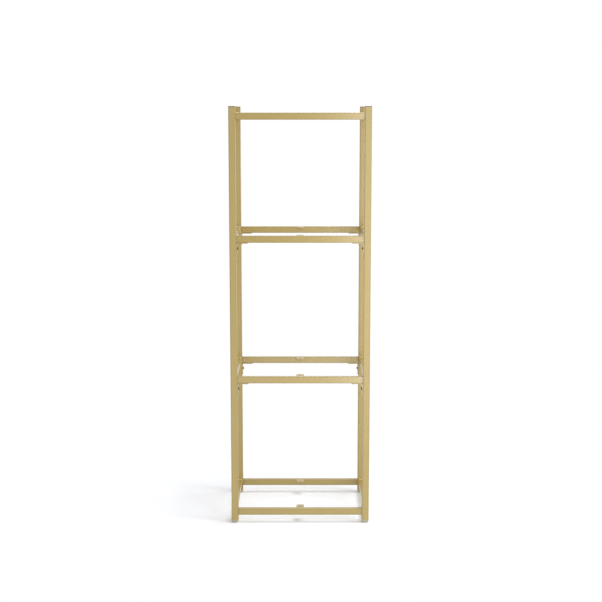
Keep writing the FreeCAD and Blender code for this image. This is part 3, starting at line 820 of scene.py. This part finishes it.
class SHELVING_OT_add_welds(bpy.types.Operator):
    """Add the small fillet welds of the side rails, shelf tabs and brackets"""

    bl_idname = "shelving.add_welds"
    bl_label = "Add Welds"

    def execute(self, context):
        welds = context.scene.shelving_welds
        settings = context.scene.shelving_finishes
        gold = finished("satin_gold_sheet", satin_gold, settings, settings.rail_coat_roughness, Y_AXIS)
        for level in LEVELS:
            form = bmesh.new()
            for side in SIDES:
                low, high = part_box("side_rail_%s_%s" % (side, level))
                for face in FACES:
                    self.ring_a_rail(form, low, high, sign_of(face), welds)
            add_piece("rail_welds_" + level, form, gold, "frame")
        for level in SHELF_LEVELS:
            form = bmesh.new()
            for face in FACES:
                low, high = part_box("shelf_tab_%s_%s" % (face, level))
                root = high.y if face == "back" else low.y
                ends = [Vector((x, root, low.z)) for x in (low.x + TAB_BEAD_INSET, high.x - TAB_BEAD_INSET)]
                directions = (-Z_AXIS, -sign_of(face) * Y_AXIS)
                self.line_a_corner(form, *ends, directions, welds.tab_leg, welds)
            add_piece("tab_welds_" + level, form, gold, "frame")
        for level in BRACKET_LEVELS:
            form = bmesh.new()
            for corner in CORNERS:
                low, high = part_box("rail_bracket_%s_%s" % (corner, level))
                side = sign_of(corner.split("_")[1])
                tip = low.x if side > 0 else high.x
                ends = [Vector((tip, y, high.z)) for y in (low.y + BRACKET_ROUND, high.y - BRACKET_ROUND)]
                self.line_a_corner(form, *ends, (-side * X_AXIS, -Z_AXIS), welds.bracket_leg, welds)
            add_piece("bracket_welds_" + level, form, gold, "frame")
        return {"FINISHED"}

    def ring_a_rail(self, form, low, high, face, welds):
        """The bead round one end of a side rail, on the post that it meets."""
        end = high.y if face > 0 else low.y
        left, right = low.x + RAIL_ROUND, high.x - RAIL_ROUND
        bottom, top = low.z + RAIL_ROUND, high.z - RAIL_ROUND
        corners = ((right, top), (left, top), (left, bottom), (right, bottom))
        centres = [Vector((x, end, z)) for x, z in corners]
        path, legs = [], []
        for number, centre in enumerate(centres):
            for step in range(CORNER_STEPS + 1):
                angle = FULL_TURN / 4 * (number + step / CORNER_STEPS)
                outward = Vector((math.cos(angle), 0, math.sin(angle)))
                path.append(centre + RAIL_ROUND * outward)
                legs.append((outward, -face * Y_AXIS))
            begin = path[-1]
            after = centres[(number + 1) % 4] + RAIL_ROUND * outward
            count = round((after - begin).length / BEAD_STEP)
            for step in range(1, count):
                path.append(begin.lerp(after, step / count))
                legs.append((outward, -face * Y_AXIS))
        add_bead(form, path, legs, welds.rail_leg, welds, True)

    def line_a_corner(self, form, begin, end, directions, leg, welds):
        """A straight bead in a corner between two flat faces."""
        count = round((end - begin).length / BEAD_STEP)
        path = [begin.lerp(end, step / count) for step in range(count + 1)]
        add_bead(form, path, [directions] * len(path), leg, welds, False)


def seen_rays(shader):
    """1 for rays that the camera, a gloss or a glass sends out, 0 for those that light surfaces."""
    path = shader.add("ShaderNodeLightPath", output="Is Camera Ray")
    outputs = path.socket.node.outputs
    glossy = Wire(shader, outputs["Is Glossy Ray"])
    transmission = Wire(shader, outputs["Is Transmission Ray"])
    return path.larger(glossy).larger(transmission)


def studio_world(settings):
    """An even sky that looks white and lights at its own strength."""
    world = bpy.data.worlds.new("studio")
    shader = Shader(world)
    white = shader.add("ShaderNodeBackground", None, {"Color": WHITE, "Strength": 1.0})
    light = shader.add("ShaderNodeBackground", None, {"Color": WHITE, "Strength": settings.world_strength})
    mixed = shader.add("ShaderNodeMixShader", None, {0: seen_rays(shader), 1: light, 2: white})
    shader.end("ShaderNodeOutputWorld", mixed)
    return world


def pale_floor(settings):
    """A matt pale floor that the camera sees as white away from the unit's shadow."""
    shader = Shader(bpy.data.materials.new("pale_floor"))
    place = shader.place()
    speckle = shader.noise(place, SPECKLE_WIDTH)
    colour = shader.toned(settings.floor_colour, 1 + speckle.swing(SPECKLE_TONE))
    matt = shader.add("ShaderNodeBsdfDiffuse", None, {"Color": colour})
    lift = shader.add("ShaderNodeEmission", None, {"Color": WHITE, "Strength": settings.floor_lift})
    white = shader.add("ShaderNodeEmission", None, {"Color": WHITE, "Strength": 1.0})
    near = shader.add("ShaderNodeAddShader", None, {0: matt, 1: lift})
    away = shader.vector_math("LENGTH", place, output="Value")
    away = away.smooth(settings.shadow_radius, settings.white_radius)
    seen = shader.add("ShaderNodeMixShader", None, {0: away, 1: near, 2: white})
    mixed = shader.add("ShaderNodeMixShader", None, {0: seen_rays(shader), 1: matt, 2: seen})
    shader.end("ShaderNodeOutputMaterial", mixed)
    return shader.owner


def add_light(name, power, width, height, place, target):
    """A soft box that faces a point and isn't seen itself."""
    lamp = bpy.data.lights.new(name, "AREA")
    lamp.energy = power
    lamp.shape = "RECTANGLE"
    lamp.size = width
    lamp.size_y = height
    light = bpy.data.objects.new(name, lamp)
    bpy.context.scene.collection.objects.link(light)
    light.location = place
    light.rotation_euler = (Vector(target) - Vector(place)).to_track_quat("-Z", "Y").to_euler()
    light.visible_camera = False


class SHELVING_OT_set_stage(bpy.types.Operator):
    """Set up the floor, the sky, the lights and the camera"""

    bl_idname = "shelving.set_stage"
    bl_label = "Set Stage"

    def execute(self, context):
        settings = context.scene.shelving_stage
        scene = context.scene
        scene.view_settings.view_transform = "Standard"
        scene.world = studio_world(settings)
        form = bmesh.new()
        bmesh.ops.create_circle(form, cap_ends=True, segments=FLOOR_SIDES, radius=settings.floor_radius)
        mesh = bpy.data.meshes.new("floor")
        form.to_mesh(mesh)
        form.free()
        floor = bpy.data.objects.new("floor", mesh)
        floor.data.materials.append(pale_floor(settings))
        floor.location.z = -FLOOR_GAP
        scene.collection.objects.link(floor)
        for corner in CORNERS:
            # The floor stays under the lowest foot as the feet are screwed out.
            under = floor.constraints.new("FLOOR")
            under.target = frame["bodies"]["pad_" + corner]
            under.floor_location = "FLOOR_NEGATIVE_Z"
            under.offset = -FLOOR_GAP
        add_light("key", settings.key_power, *KEY_LAMP)
        add_light("card", settings.card_power, *CARD_LAMP)
        add_light("low", settings.low_power, *LOW_LAMP)
        add_light("side", settings.side_power, *SIDE_LAMP)
        camera = bpy.data.objects.new("camera", bpy.data.cameras.new("camera"))
        scene.collection.objects.link(camera)
        camera.location = (settings.camera_across, -settings.camera_back, settings.camera_height)
        camera.rotation_euler = (math.pi / 2 - settings.camera_tilt, 0, 0)
        camera.data.lens = settings.camera_lens
        camera.data.shift_y = settings.camera_shift
        scene.camera = camera
        return {"FINISHED"}


OPERATORS = (
    SHELVING_OT_finish_tubes,
    SHELVING_OT_finish_caps,
    SHELVING_OT_finish_hardware,
    SHELVING_OT_add_levelling_stems,
    SHELVING_OT_add_glide_pads,
    SHELVING_OT_add_bracket_bolts,
    SHELVING_OT_add_welds,
    SHELVING_OT_set_stage,
)


class SHELVING_PT_dressing(bpy.types.Panel):
    """The steps that dress the unit, in their order"""

    bl_idname = "SHELVING_PT_dressing"
    bl_label = "Shelving Unit"
    bl_space_type = "VIEW_3D"
    bl_region_type = "UI"
    bl_category = "Shelving"

    def draw(self, context):
        for operator in OPERATORS:
            self.layout.operator(operator.bl_idname)


SETTINGS = {
    "shelving_finishes": FinishSettings,
    "shelving_feet": FootSettings,
    "shelving_fasteners": FastenerSettings,
    "shelving_welds": WeldSettings,
    "shelving_stage": StageSettings,
}
CLASSES = (*SETTINGS.values(), *OPERATORS, SHELVING_PT_dressing)


def register():
    """Registers the classes and ties the settings to the scene."""
    for kind in CLASSES:
        bpy.utils.register_class(kind)
    for name, kind in SETTINGS.items():
        setattr(bpy.types.Scene, name, bpy.props.PointerProperty(type=kind))


def unregister():
    """Takes the settings and the classes away again."""
    for name in SETTINGS:
        delattr(bpy.types.Scene, name)
    for kind in reversed(CLASSES):
        bpy.utils.unregister_class(kind)


def main():
    """Dresses the unit."""
    register()
    bpy.ops.shelving.finish_tubes()
    bpy.ops.shelving.finish_caps()
    bpy.ops.shelving.finish_hardware()
    bpy.ops.shelving.add_levelling_stems()
    bpy.ops.shelving.add_glide_pads()
    bpy.ops.shelving.add_bracket_bolts()
    bpy.ops.shelving.add_welds()
    bpy.ops.shelving.set_stage()


if __name__ == "__main__":
    main()
